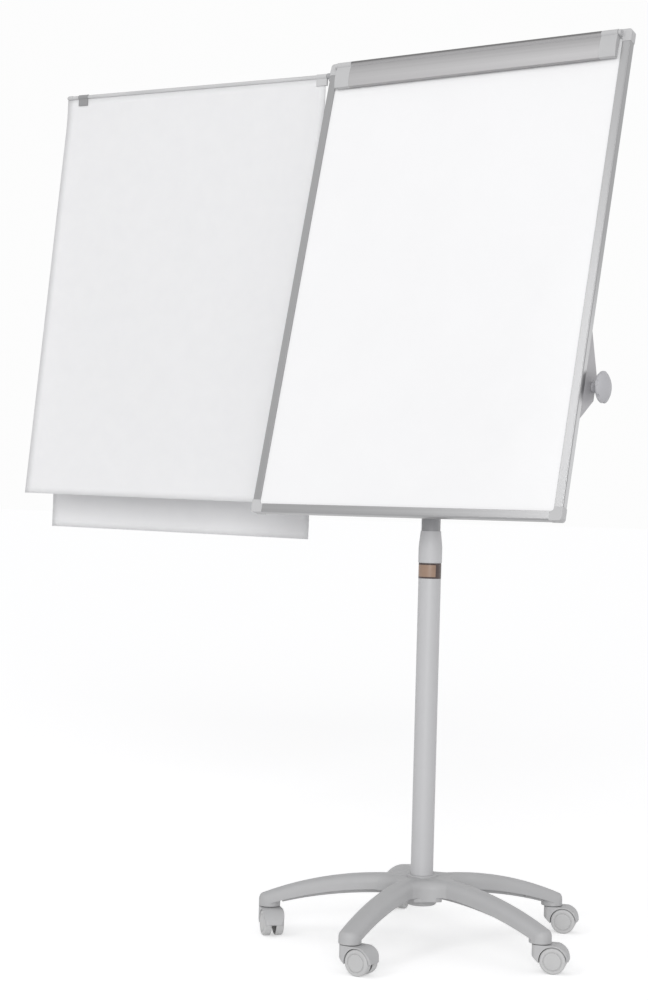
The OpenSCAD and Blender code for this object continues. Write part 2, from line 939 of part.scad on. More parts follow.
// The face of a corner cap, its outer corner at the origin
module corner_face() {
  difference() {
    union() {
      translate([corner_r, 0])
        square([corner_len - corner_r, rail_w]);
      translate([0, corner_r])
        square([rail_w, corner_len - corner_r]);
      translate([corner_r, corner_r])
        circle(corner_r);
      translate([corner_r, corner_r])
        square(rail_w - corner_r);
      translate([rail_w, rail_w])
        square(corner_fillet);
    }
    translate([rail_w + corner_fillet, rail_w + corner_fillet])
      circle(corner_fillet);
  }
}

module corner_cap(side, upper) {
  tongue_w = chamber_w - 2 * seat_gap;
  tongue_d = panel_t - 2 * seat_gap;
  tongue_in = [chamber_inset + seat_gap, rail_lip + seat_gap];
  color("gainsboro")
    on_board()
      translate([0, 0, upper ? board_h : 0])
        mirror([0, 0, upper ? 1 : 0])
          mirror([side > 0 ? 1 : 0, 0, 0])
            translate([-half_w, 0, 0]) {
              difference() {
                translate([0, rail_d + cap_proud, 0])
                  rotate([90, 0, 0])
                    linear_extrude(rail_d + 2 * cap_proud)
                      corner_face();
                translate([rail_w - groove, rail_lip - seat_gap, rail_w - groove])
                  cube([board_w, panel_t + 2 * seat_gap, board_h]);
              }
              translate([tongue_in[0], tongue_in[1], corner_r])
                cube([tongue_w, tongue_d, corner_len - corner_r + tongue_len]);
              translate([corner_r, tongue_in[1], tongue_in[0]])
                cube([corner_len - corner_r + tongue_len, tongue_d, tongue_w]);
            }
}

module writing_surface() {
  color("white")
    on_board()
      translate([-panel_half_w, rail_lip, panel_edge])
        cube([2 * panel_half_w, sheet_steel_t, board_h - 2 * panel_edge]);
}

module board_core() {
  color("whitesmoke")
    on_board()
      translate([-panel_half_w, rail_lip + sheet_steel_t, panel_edge])
        cube([2 * panel_half_w, core_t, board_h - 2 * panel_edge]);
}

// Clamp bar

// The clamp's outline in the (d, s) plane, drawn in by a wall
module clamp_outline(wall) {
  translate([barrel_d, barrel_s])
    circle(barrel_r - wall);
  intersection() {
    translate([clamp_front_d + clamp_bow_r, clamp_bow_s])
      circle(clamp_bow_r - wall);
    translate([clamp_front_d - past, clamp_bottom_s + wall])
      square([clamp_back_d - clamp_front_d + past - wall, barrel_s - clamp_bottom_s - wall]);
  }
}

module clamp_bar() {
  bar_half = clamp_len / 2 - clamp_cap_len;
  color("silver")
    on_board()
      difference() {
        board_bar(-bar_half, bar_half)
          clamp_outline(0);
        board_bar(-bar_half - past, bar_half + past)
          clamp_outline(clamp_wall);
      }
}

module clamp_cap(side) {
  bar_half = clamp_len / 2 - clamp_cap_len;
  color("gainsboro")
    on_board()
      mirror([side < 0 ? 1 : 0, 0, 0])
        difference() {
          union() {
            board_bar(bar_half, clamp_len / 2)
              clamp_outline(0);
            board_bar(bar_half - clamp_tongue, bar_half)
              clamp_outline(clamp_wall + run_gap);
          }
          translate([clamp_len / 2 - clamp_pin_in - run_gap, barrel_d, barrel_s])
            rotate([0, 90, 0])
              cylinder(d = clamp_pin_d + 2 * run_gap, h = clamp_pin_in + run_gap + past);
        }
}

module clamp_grip() {
  color("dimgray")
    on_board()
      translate([-grip_half, clamp_back_d, clamp_bottom_s + grip_inset])
        cube([2 * grip_half, rail_lip - clamp_back_d - rub_gap, grip_h]);
}

module clamp_lugs() {
  color("gainsboro")
    on_board()
      for (side = sides)
        mirror([side < 0 ? 1 : 0, 0, 0])
          difference() {
            board_bar(lug_x, lug_x + lug_t) {
              translate([barrel_d, barrel_s])
                circle(lug_r);
              translate([barrel_d, barrel_s - lug_r])
                square([-barrel_d - cap_proud, 2 * lug_r]);
            }
            translate([0, barrel_d, barrel_s])
              rotate([0, 90, 0])
                cylinder(d = clamp_pin_d + 2 * seat_gap, h = board_w);
          }
}

module clamp_pins() {
  color("gray")
    on_board()
      for (side = sides)
        mirror([side < 0 ? 1 : 0, 0, 0])
          translate([clamp_len / 2 - clamp_pin_in, barrel_d, barrel_s])
            rotate([0, 90, 0])
              cylinder(d = clamp_pin_d, h = clamp_pin_in + lug_gap + lug_t);
}

// Side arm

module arm_bracket() {
  plate_in = -half_w + bracket_in;
  color("gray")
    on_board()
      translate([0, 0, arm_s - bracket_h / 2])
        difference() {
          union() {
            translate([plate_in, rail_d + cap_proud, 0])
              cube([bracket_w, bracket_t, bracket_h]);
            for (z = [0, bracket_h - ear_t])
              translate([0, 0, z])
                linear_extrude(ear_t) {
                  translate([arm_x, arm_hinge_d])
                    circle(knuckle_r);
                  translate([arm_x, rail_d + cap_proud])
                    square([plate_in - arm_x + bracket_w / 2, bracket_t]);
                  translate([arm_x, rail_d + cap_proud])
                    square([knuckle_r, arm_hinge_d - rail_d - cap_proud]);
                }
          }
          translate([arm_x, arm_hinge_d, -past])
            cylinder(d = arm_pin_d + 2 * seat_gap, h = bracket_h + 2 * past);
        }
}

module arm_pin() {
  color("dimgray")
    on_board()
      translate([arm_x, arm_hinge_d, arm_s - bracket_h / 2])
        cylinder(d = arm_pin_d, h = bracket_h);
}

module arm_knuckle() {
  color("gray")
    on_arm()
      difference() {
        union() {
          translate([0, 0, -knuckle_h / 2])
            cylinder(r = knuckle_r, h = knuckle_h);
          rotate([0, 90, 0])
            cylinder(r = knuckle_r, h = sleeve_len);
        }
        translate([0, 0, -knuckle_h])
          cylinder(d = arm_pin_d + 2 * run_gap, h = 2 * knuckle_h);
        translate([knuckle_r, 0, 0])
          rotate([0, 90, 0])
            cylinder(d = arm_d + 2 * seat_gap, h = sleeve_len);
      }
}

module arm_rod() {
  tip_r = arm_d / 2;
  color("lightgray")
    on_arm()
      rotate([0, 90, 0]) {
        translate([0, 0, knuckle_r + seat_gap])
          cylinder(d = arm_d, h = arm_len - tip_r - knuckle_r - seat_gap);
        translate([0, 0, arm_len - tip_r])
          sphere(tip_r);
      }
}

module paper_clip(at) {
  ring_r = arm_d / 2 + clip_wall;
  color("darkgray")
    under_arm()
      translate([at - clip_w / 2, 0, 0])
        rotate([90, 0, 90])
          linear_extrude(clip_w)
            difference() {
              union() {
                circle(ring_r);
                for (side = sides)
                  translate([side * (clip_gap + clip_jaw_t) / 2 - clip_jaw_t / 2, -clip_drop])
                    square([clip_jaw_t, clip_drop]);
              }
              circle(arm_d / 2 + run_gap);
              translate([-clip_gap / 2, -clip_drop - past])
                square([clip_gap, clip_drop + past]);
            }
}

// Points down one face of the front sheet, which bends into its lean below the clips
function front_face(offset) = concat(
  [[offset, paper_top]],
  [for (n = [0 : bend_steps])
    let (turn = front_lean * n / bend_steps, reach = bend_len / front_lean * 180 / PI)
      [reach * (1 - cos(turn)) + offset * cos(turn),
       paper_bend_z - reach * sin(turn) + offset * sin(turn)]],
  [let (turn = front_lean,
        reach = bend_len / front_lean * 180 / PI,
        rest = front_len + paper_bend_z - paper_top - bend_len)
      [reach * (1 - cos(turn)) + rest * sin(turn) + offset * cos(turn),
       paper_bend_z - reach * sin(turn) - rest * cos(turn) + offset * sin(turn)]]);

module paper_front() {
  color("whitesmoke")
    under_arm()
      translate([paper_start, 0, 0])
        rotate([90, 0, 90])
          linear_extrude(paper_w)
            polygon(concat(
              front_face(paper_y),
              [for (p = [len(front_face(0)) - 1 : -1 : 0]) front_face(paper_y + paper_t)[p]]));
}

module paper_rear() {
  color("whitesmoke")
    under_arm()
      translate([paper_start, -paper_y - paper_t, paper_top - rear_len])
        cube([paper_w, paper_t, rear_len]);
}

base_star();
column_bolt();
lower_tube();
lock_collar();
guide_bush();
upper_tube();
upper_glide();
tee_head();
cross_tube();
cross_tube_plugs();
tilt_knob(-1);  // tilt_knob_left
tilt_knob(1);  // tilt_knob_right
tilt_stud(-1);  // tilt_stud_left
tilt_stud(1);  // tilt_stud_right
side_plate(-1);  // side_plate_left
side_plate(1);  // side_plate_right
end_rail(true);  // top_rail
end_rail(false);  // bottom_rail
side_rail(-1);  // left_rail
side_rail(1);  // right_rail
corner_cap(-1, true);  // corner_top_left
corner_cap(1, true);  // corner_top_right
corner_cap(-1, false);  // corner_bottom_left
corner_cap(1, false);  // corner_bottom_right
writing_surface();
board_core();
clamp_bar();
clamp_cap(-1);  // clamp_cap_left
clamp_cap(1);  // clamp_cap_right
clamp_grip();
clamp_lugs();
clamp_pins();
arm_bracket();
arm_pin();
arm_knuckle();
arm_rod();
paper_clip(clip_outer_x);  // clip_outer
paper_clip(clip_inner_x);  // clip_inner
paper_front();
paper_rear();
for (n = [0 : leg_count - 1]) {
  castor_hood(n);
  castor_pins(n);
  castor_wheel(n, -1);
  castor_wheel(n, 1);
}
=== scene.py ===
import math

import bmesh
import bpy
from mathutils import Matrix, Vector


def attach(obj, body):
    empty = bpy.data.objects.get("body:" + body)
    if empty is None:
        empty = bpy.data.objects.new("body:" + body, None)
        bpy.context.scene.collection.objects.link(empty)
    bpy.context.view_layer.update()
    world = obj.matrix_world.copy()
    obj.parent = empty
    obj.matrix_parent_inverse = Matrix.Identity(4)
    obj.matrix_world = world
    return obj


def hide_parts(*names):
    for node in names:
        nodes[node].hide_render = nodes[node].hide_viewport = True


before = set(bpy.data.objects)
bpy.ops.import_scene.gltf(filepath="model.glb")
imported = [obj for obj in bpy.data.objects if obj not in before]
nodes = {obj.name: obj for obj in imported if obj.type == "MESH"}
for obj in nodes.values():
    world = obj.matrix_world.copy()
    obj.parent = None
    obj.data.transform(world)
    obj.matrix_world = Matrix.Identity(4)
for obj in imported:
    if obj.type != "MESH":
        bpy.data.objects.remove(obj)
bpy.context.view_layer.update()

# Studio: a white sweep with broad frontal daylight and three softboxes, seen through a long lens from the right.
# The floor is matt white board, and keeps the soft shadow that the easel throws on it.
scene = bpy.context.scene
scene.view_settings.view_transform = "Standard"
lens_px = 1935.0
photo_height_px = 1000.0
camera_at = Vector((1.929, -3.354, 0.860))
camera_yaw = math.radians(33.09)
camera_pitch = math.radians(0.24)
camera_roll = math.radians(1.54)
ahead = Vector((
    -math.sin(camera_yaw) * math.cos(camera_pitch),
    math.cos(camera_yaw) * math.cos(camera_pitch),
    math.sin(camera_pitch),
))
level = Vector((math.cos(camera_yaw), math.sin(camera_yaw), 0.0))
upright = level.cross(ahead)
right = level * math.cos(camera_roll) + upright * math.sin(camera_roll)
above = upright * math.cos(camera_roll) - level * math.sin(camera_roll)
camera_data = bpy.data.cameras.new("studio_camera")
camera_data.sensor_fit = "VERTICAL"
camera_data.sensor_height = 36.0
camera_data.lens = camera_data.sensor_height * lens_px / photo_height_px
camera_data.clip_end = 400.0
camera = bpy.data.objects.new("studio_camera", camera_data)
camera.matrix_world = Matrix.Translation(camera_at) @ Matrix((right, above, -ahead)).transposed().to_4x4()
scene.collection.objects.link(camera)
scene.camera = camera


def background_rays(tree):
    """A socket that is 1 for rays that show the white background: the camera's, and those in gloss or glass."""
    path = tree.nodes.new("ShaderNodeLightPath")
    straight = tree.nodes.new("ShaderNodeMath")
    straight.operation = "MAXIMUM"
    through = tree.nodes.new("ShaderNodeMath")
    through.operation = "MAXIMUM"
    tree.links.new(path.outputs["Is Camera Ray"], straight.inputs[0])
    tree.links.new(path.outputs["Is Glossy Ray"], straight.inputs[1])
    tree.links.new(straight.outputs[0], through.inputs[0])
    tree.links.new(path.outputs["Is Transmission Ray"], through.inputs[1])
    return through.outputs[0]


ambient = 0.54
ambient_blue = 1.01
sweep_white = 0.98
world = bpy.data.worlds.new("studio_light")
world.use_nodes = True
scene.world = world
tree = world.node_tree
tree.nodes.clear()
lit = tree.nodes.new("ShaderNodeBackground")
lit.inputs["Color"].default_value = (ambient, ambient, ambient * ambient_blue, 1.0)
backdrop = tree.nodes.new("ShaderNodeBackground")
backdrop.inputs["Color"].default_value = (sweep_white, sweep_white, sweep_white, 1.0)
chosen = tree.nodes.new("ShaderNodeMixShader")
out = tree.nodes.new("ShaderNodeOutputWorld")
tree.links.new(background_rays(tree), chosen.inputs[0])
tree.links.new(lit.outputs[0], chosen.inputs[1])
tree.links.new(backdrop.outputs[0], chosen.inputs[2])
tree.links.new(chosen.outputs[0], out.inputs["Surface"])

key_travel = Vector((-0.50, 0.84, -0.22))
key_data = bpy.data.lights.new("key_light", "SUN")
key_data.energy = 1.22
key_data.angle = math.radians(30)
key = bpy.data.objects.new("key_light", key_data)
key.rotation_euler = key_travel.to_track_quat("-Z", "Y").to_euler()
scene.collection.objects.link(key)

lamps_aim_at = Vector((0.34, -0.05, 1.0))
for name, watts, wide, high, at in (
    ("front_strip", 9.0, 0.38, 1.34, Vector((-0.775, -2.618, 2.62))),
    ("upper_panel", 2.4, 0.90, 1.60, Vector((-1.37, -2.62, 4.30))),
    ("rear_softbox", 2.0, 0.80, 0.80, Vector((1.31, 1.98, 1.10))),
):
    softbox_data = bpy.data.lights.new(name, "AREA")
    softbox_data.shape = "RECTANGLE"
    softbox_data.energy = watts
    softbox_data.size = wide
    softbox_data.size_y = high
    softbox = bpy.data.objects.new(name, softbox_data)
    softbox.location = at
    softbox.rotation_euler = (lamps_aim_at - at).to_track_quat("-Z", "Y").to_euler()
    softbox.visible_camera = False
    scene.collection.objects.link(softbox)

floor_half = 120.0
floor_white = 0.90
floor_lift = 0.430
floor_corners = [(x * floor_half, y * floor_half, 0) for x, y in ((-1, -1), (1, -1), (1, 1), (-1, 1))]
floor_mesh = bpy.data.meshes.new("floor")
floor_mesh.from_pydata(floor_corners, [], [(0, 1, 2, 3)])
floor = bpy.data.objects.new("floor", floor_mesh)
scene.collection.objects.link(floor)
floor_board = bpy.data.materials.new("white_floor")
floor_board.use_nodes = True
tree = floor_board.node_tree
tree.nodes.clear()
matt = tree.nodes.new("ShaderNodeBsdfDiffuse")
matt.inputs["Color"].default_value = (floor_white, floor_white, floor_white, 1.0)
glow = tree.nodes.new("ShaderNodeEmission")
glow.inputs["Color"].default_value = (floor_lift, floor_lift, floor_lift, 1.0)
both = tree.nodes.new("ShaderNodeAddShader")
out = tree.nodes.new("ShaderNodeOutputMaterial")
tree.links.new(background_rays(tree), glow.inputs["Strength"])
tree.links.new(matt.outputs[0], both.inputs[0])
tree.links.new(glow.outputs[0], both.inputs[1])
tree.links.new(both.outputs[0], out.inputs["Surface"])
floor_mesh.materials.append(floor_board)


# Five-leg base: one injection moulding in grey glass-filled nylon, ribbed underneath, with a fine spark grain.
# Two shared effects start here: the moulded grain, and the softly broken edges that nearly every piece has.
def new_group(name, inputs, outputs):
    group = bpy.data.node_groups.new(name, "ShaderNodeTree")
    for label, kind, value in inputs:
        socket = group.interface.new_socket(label, in_out="INPUT", socket_type=kind)
        socket.default_value = value
    for label, kind in outputs:
        group.interface.new_socket(label, in_out="OUTPUT", socket_type=kind)
    return group, group.nodes.new("NodeGroupInput"), group.nodes.new("NodeGroupOutput")


grain_group, given, made = new_group(
    "moulded_grain",
    [("Grains per metre", "NodeSocketFloat", 1500.0), ("Clouds per metre", "NodeSocketFloat", 7.0)],
    [("Height", "NodeSocketFloat"), ("Cloud", "NodeSocketFloat")],
)
place = grain_group.nodes.new("ShaderNodeTexCoord")
fine = grain_group.nodes.new("ShaderNodeTexNoise")
fine.inputs["Detail"].default_value = 2.0
cloud = grain_group.nodes.new("ShaderNodeTexNoise")
cloud.inputs["Detail"].default_value = 5.0
cloud.inputs["Roughness"].default_value = 0.65
for noise, socket in ((fine, "Grains per metre"), (cloud, "Clouds per metre")):
    grain_group.links.new(place.outputs["Object"], noise.inputs["Vector"])
    grain_group.links.new(given.outputs[socket], noise.inputs["Scale"])
grain_group.links.new(fine.outputs["Fac"], made.inputs["Height"])
grain_group.links.new(cloud.outputs["Fac"], made.inputs["Cloud"])

edge_group, given, made = new_group(
    "broken_edges",
    [("Radius", "NodeSocketFloat", 0.0006)],
    [("Normal", "NodeSocketVector"), ("Rubbed", "NodeSocketFloat")],
)
least_turned = 0.995
most_turned = 0.85
eased = edge_group.nodes.new("ShaderNodeBevel")
eased.samples = 6
true_face = edge_group.nodes.new("ShaderNodeNewGeometry")
turned = edge_group.nodes.new("ShaderNodeVectorMath")
turned.operation = "DOT_PRODUCT"
rubbed = edge_group.nodes.new("ShaderNodeMapRange")
rubbed.inputs["From Min"].default_value = least_turned
rubbed.inputs["From Max"].default_value = most_turned
edge_group.links.new(given.outputs["Radius"], eased.inputs["Radius"])
edge_group.links.new(eased.outputs["Normal"], turned.inputs[0])
edge_group.links.new(true_face.outputs["Normal"], turned.inputs[1])
edge_group.links.new(turned.outputs["Value"], rubbed.inputs["Value"])
edge_group.links.new(eased.outputs["Normal"], made.inputs["Normal"])
edge_group.links.new(rubbed.outputs["Result"], made.inputs["Rubbed"])


def shade(colour, k):
    return tuple(min(1.0, c * k) for c in colour) + (1.0,)


cloud_ends = (0.3, 0.7)


def finish_tree(name, colour, cloudy, rubbed_k, roughness, edge, metal):
    """A material with clouded colour and roughness and rubbed edges, with its tree, bump and pattern sockets."""
    material = bpy.data.materials.new(name)
    material.use_nodes = True
    tree = material.node_tree
    shader = tree.nodes["Principled BSDF"]
    shader.inputs["Metallic"].default_value = metal
    edges = tree.nodes.new("ShaderNodeGroup")
    edges.node_tree = edge_group
    edges.inputs["Radius"].default_value = edge
    tones = tree.nodes.new("ShaderNodeValToRGB")
    tones.color_ramp.elements[0].position = cloud_ends[0]
    tones.color_ramp.elements[0].color = shade(colour, 1 - cloudy)
    tones.color_ramp.elements[1].position = cloud_ends[1]
    tones.color_ramp.elements[1].color = shade(colour, 1 + cloudy)
    edge_tone = tree.nodes.new("ShaderNodeMix")
    edge_tone.data_type = "RGBA"
    edge_tone.inputs["B"].default_value = shade(colour, rubbed_k)
    gloss = tree.nodes.new("ShaderNodeMapRange")
    gloss.inputs["To Min"].default_value = roughness[0]
    gloss.inputs["To Max"].default_value = roughness[1]
    bump = tree.nodes.new("ShaderNodeBump")
    tree.links.new(edges.outputs["Rubbed"], edge_tone.inputs["Factor"])
    tree.links.new(tones.outputs["Color"], edge_tone.inputs["A"])
    tree.links.new(edge_tone.outputs["Result"], shader.inputs["Base Color"])
    tree.links.new(gloss.outputs["Result"], shader.inputs["Roughness"])
    tree.links.new(edges.outputs["Normal"], bump.inputs["Normal"])
    tree.links.new(bump.outputs["Normal"], shader.inputs["Normal"])
    return material, tree, bump, (tones.inputs["Fac"], gloss.inputs["Value"])


def moulded(
    name, colour, grains=1500.0, clouds=7.0, depth=0.00003, cloudy=0.035, rubbed_k=1.10, roughness=(0.42, 0.56),
    edge=0.0008, metal=0.0,
):
    """A grained surface, as moulding, coating, casting or plating leaves it."""
    material, tree, bump, pattern = finish_tree(name, colour, cloudy, rubbed_k, roughness, edge, metal)
    grain = tree.nodes.new("ShaderNodeGroup")
    grain.node_tree = grain_group
    grain.inputs["Grains per metre"].default_value = grains
    grain.inputs["Clouds per metre"].default_value = clouds
    bump.inputs["Distance"].default_value = depth
    tree.links.new(grain.outputs["Height"], bump.inputs["Height"])
    for socket in pattern:
        tree.links.new(grain.outputs["Cloud"], socket)
    return material


def dress(material, *names):
    for name in names:
        mesh = nodes[name].data
        mesh.materials.clear()
        mesh.materials.append(material)


dress(moulded("base_nylon", (0.47, 0.47, 0.475), grains=1100, depth=0.00005, edge=0.0015), "base_star")


# Castors: nylon hoods with a zinc-plated stem and axle, and two plain nylon wheels each, which turn on the axle.
# The hoods are a lighter grey than the base, and the wheels lighter still, polished by the floor.
castors = ("front", "right", "rear_right", "rear_left", "left")
hood_nylon = moulded("castor_hood_nylon", (0.50, 0.50, 0.505), edge=0.0012)
wheel_nylon = moulded("castor_wheel_nylon", (0.55, 0.55, 0.55), cloudy=0.05, roughness=(0.30, 0.48), edge=0.0010)
zinc = moulded(
    "zinc_plated_steel", (0.52, 0.52, 0.53), grains=2600, clouds=60, depth=0.00001, cloudy=0.10, rubbed_k=1.15,
    roughness=(0.28, 0.45), edge=0.0004, metal=0.9,
)
for castor in castors:
    dress(hood_nylon, f"castor_{castor}_hood")
    dress(wheel_nylon, f"castor_{castor}_wheel_a", f"castor_{castor}_wheel_b")
    dress(zinc, f"castor_{castor}_pins")


# Column: a powder-coated steel tube bolted into the hub from below, and a satin steel tube that slides in it.
# A split plastic bush guides the inner tube, and a twist collar over the bush clamps it at any height.
def coated_steel(name, colour, roughness=(0.34, 0.46)):
    return moulded(
        name, colour, grains=800, depth=0.00002, cloudy=0.02, rubbed_k=1.05, roughness=roughness, edge=0.0006,
    )


dress(zinc, "column_bolt")
dress(coated_steel("column_coat", (0.55, 0.55, 0.56)), "lower_tube")
dress(moulded("guide_plastic", (0.06, 0.06, 0.062)), "guide_bush", "upper_glide", "cross_tube_plugs")
dress(moulded("collar_plastic", (0.57, 0.57, 0.58)), "lock_collar")

brushed_group, given, made = new_group(
    "drawn_lines",
    [("Lines per metre", "NodeSocketVector", (1.0, 1.0, 1.0)), ("Lean", "NodeSocketVector", (0.0, 0.0, 0.0))],
    [("Height", "NodeSocketFloat"), ("Streak", "NodeSocketFloat")],
)
place = brushed_group.nodes.new("ShaderNodeTexCoord")
straight = brushed_group.nodes.new("ShaderNodeVectorRotate")
straight.rotation_type = "EULER_XYZ"
stretched = brushed_group.nodes.new("ShaderNodeVectorMath")
stretched.operation = "MULTIPLY"
lines = brushed_group.nodes.new("ShaderNodeTexNoise")
lines.inputs["Scale"].default_value = 1.0
lines.inputs["Detail"].default_value = 4.0
streaks = brushed_group.nodes.new("ShaderNodeTexNoise")
streaks.inputs["Scale"].default_value = 0.12
streaks.inputs["Detail"].default_value = 3.0
brushed_group.links.new(place.outputs["Object"], straight.inputs["Vector"])
brushed_group.links.new(given.outputs["Lean"], straight.inputs["Rotation"])
brushed_group.links.new(straight.outputs["Vector"], stretched.inputs[0])
brushed_group.links.new(given.outputs["Lines per metre"], stretched.inputs[1])
for noise, socket in ((lines, "Height"), (streaks, "Streak")):
    brushed_group.links.new(stretched.outputs["Vector"], noise.inputs["Vector"])
    brushed_group.links.new(noise.outputs["Fac"], made.inputs[socket])


lines_along = 5.0
lines_across = 1600.0


def drawn_metal(name, colour, along, metal, lean=0.0, streaky=0.06, roughness=(0.30, 0.44)):
    """Drawn or extruded metal whose fine lines run along "x" or "z" of the piece, leaned back by an angle."""
    material, tree, bump, pattern = finish_tree(name, colour, streaky, 1.12, roughness, 0.0006, metal)
    lines = tree.nodes.new("ShaderNodeGroup")
    lines.node_tree = brushed_group
    per_metre = [lines_along if axis == along else lines_across for axis in "xyz"]
    lines.inputs["Lines per metre"].default_value = per_metre
    lines.inputs["Lean"].default_value = (lean, 0.0, 0.0)
    bump.inputs["Distance"].default_value = 0.00001
    tree.links.new(lines.outputs["Height"], bump.inputs["Height"])
    for socket in pattern:
        tree.links.new(lines.outputs["Streak"], socket)
    return material


# Partly painted shade: the satin tube's grey is its own darker finish, and is set darker still to stand in for
# the board's shadow on its upper end.
dress(drawn_metal("satin_tube", (0.33, 0.33, 0.34), "z", 0.2, roughness=(0.44, 0.56)), "upper_tube")

# Band round the column under the collar: a plain two-tone film, stuck on with a gap between its ends at the back.
# It is brown with darker borders and one dark end, and carries no words or marks.
band_r = 0.0226
band_t = 0.00012
band_z = (0.7255, 0.7560)
band_border = 0.0035
band_turns = 96
band_from = math.radians(-222)
band_to = math.radians(108)
band_dark_from = math.radians(-29)
band_mesh = bpy.data.meshes.new("column_band")
bm = bmesh.new()
band_levels = (band_z[0], band_z[0] + band_border, band_z[1] - band_border, band_z[1])
rows = []
for n in range(band_turns + 1):
    turn = band_from + (band_to - band_from) * n / band_turns
    column = []
    for r in (band_r, band_r + band_t):
        column.append([bm.verts.new((r * math.cos(turn), r * math.sin(turn), z)) for z in band_levels])
    rows.append((turn, column))
last_level = len(band_levels) - 1
for (turn, here), (next_turn, there) in zip(rows, rows[1:]):
    dark = (turn + next_turn) / 2 > band_dark_from
    for k in range(last_level):
        border = k != 1
        for side, flip in ((1, False), (0, True)):
            ring = [here[side][k], there[side][k], there[side][k + 1], here[side][k + 1]]
            face = bm.faces.new(ring[::-1] if flip else ring)
            face.material_index = 1 if (dark or border) else 0
            face.smooth = True
    for k, flip in ((0, False), (last_level, True)):
        ring = [here[0][k], there[0][k], there[1][k], here[1][k]]
        bm.faces.new(ring[::-1] if flip else ring).material_index = 1
for column, flip in ((rows[0][1], True), (rows[-1][1], False)):
    for k in range(last_level):
        ring = [column[0][k], column[0][k + 1], column[1][k + 1], column[1][k]]
        bm.faces.new(ring[::-1] if flip else ring).material_index = 1
bmesh.ops.recalc_face_normals(bm, faces=bm.faces)
bm.to_mesh(band_mesh)
bm.free()
column_band = bpy.data.objects.new("column_band", band_mesh)
scene.collection.objects.link(column_band)
for name, colour, cloudy in (("band_brown", (0.33, 0.22, 0.16), 0.16), ("band_dark", (0.075, 0.05, 0.045), 0.20)):
    film = moulded(name, colour, grains=400, cloudy=cloudy, roughness=(0.3, 0.42), edge=0.0002)
    band_mesh.materials.append(film)
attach(column_band, "base")


# Tilt head: a cast tee on the inner tube carries the cross tube, whose ends hold threaded plugs.
# Two clamping knobs on steel studs press the folded steel side plates of the board against the plugs.
tilt_axis_z = 1.103
cast_alloy = moulded("painted_casting", (0.40, 0.40, 0.41), grains=700, depth=0.00006, cloudy=0.05, rubbed_k=1.12)
dress(cast_alloy, "tee_head")
dress(coated_steel("cross_tube_coat", (0.55, 0.55, 0.56)), "cross_tube")
dress(coated_steel("side_plate_coat", (0.43, 0.425, 0.44)), "side_plate_left", "side_plate_right")
dress(moulded("knob_plastic", (0.50, 0.50, 0.52), grains=1800, edge=0.0012), "tilt_knob_left", "tilt_knob_right")
dress(zinc, "tilt_stud_left", "tilt_stud_right")


def button_screw(name, place, body, head_r=0.0035, head_h=0.0022, socket_r=0.0013):
    """A button-head screw with a hexagon socket, its seat at the place's origin and its head along +Z."""
    around = 24
    brim = 0.25
    dome_steps = (0.35, 0.65, 0.9)
    dome_turn = math.pi / 3.2
    socket_floor = 0.4
    sector = math.pi / 3
    circle = []
    hexagon = []
    for n in range(around):
        turn = 2 * math.pi * n / around
        circle.append((math.cos(turn), math.sin(turn)))
        reach = math.cos(sector / 2) / math.cos((turn % sector) - sector / 2)
        hexagon.append((reach * math.cos(turn), reach * math.sin(turn)))
    rings = [[(head_r * c, head_r * s, z) for c, s in circle] for z in (0.0, brim * head_h)]
    for step in dome_steps:
        r = head_r * math.cos(step * dome_turn)
        z = head_h * (brim + (1 - brim) * math.sin(step * math.pi / 2))
        rings.append([(r * c, r * s, z) for c, s in circle])
    for z in (head_h, socket_floor * head_h):
        rings.append([(socket_r * c, socket_r * s, z) for c, s in hexagon])
    bm = bmesh.new()
    loops = [[bm.verts.new(place @ Vector(p)) for p in ring] for ring in rings]
    for low, high in zip(loops, loops[1:]):
        for n in range(around):
            m = (n + 1) % around
            bm.faces.new((low[n], low[m], high[m], high[n]))
    bm.faces.new(loops[0][::-1])
    bm.faces.new(loops[-1])
    mesh = bpy.data.meshes.new(name)
    bm.to_mesh(mesh)
    bm.free()
    mesh.materials.append(zinc)
    screw = bpy.data.objects.new(name, mesh)
    scene.collection.objects.link(screw)
    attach(screw, body)


facing_back = Matrix.Rotation(math.radians(-90), 4, "X")
tee_screw_seat = 0.0232
tee_screw_zs = (1.059, 1.077)
for n, z in enumerate(tee_screw_zs):
    button_screw(f"tee_screw_{n}", Matrix.Translation((0, tee_screw_seat, z)) @ facing_back, "mast")

board_tilt = math.radians(15)
tilt_axis_up = 0.279
tilt_axis_back = 0.0595
on_board = (
    Matrix.Translation((0, 0, tilt_axis_z))
    @ Matrix.Rotation(-board_tilt, 4, "X")
    @ Matrix.Translation((0, -tilt_axis_back, -tilt_axis_up))
)
plate_screw_x = 0.338
plate_screw_back = 0.021
plate_screw_ups = (tilt_axis_up - 0.066, tilt_axis_up + 0.096)
for side, name in ((-1, "left"), (1, "right")):
    for n, up in enumerate(plate_screw_ups):
        seat = on_board @ Matrix.Translation((side * plate_screw_x, plate_screw_back, up)) @ facing_back
        button_screw(f"side_plate_{name}_screw_{n}", seat, "board")


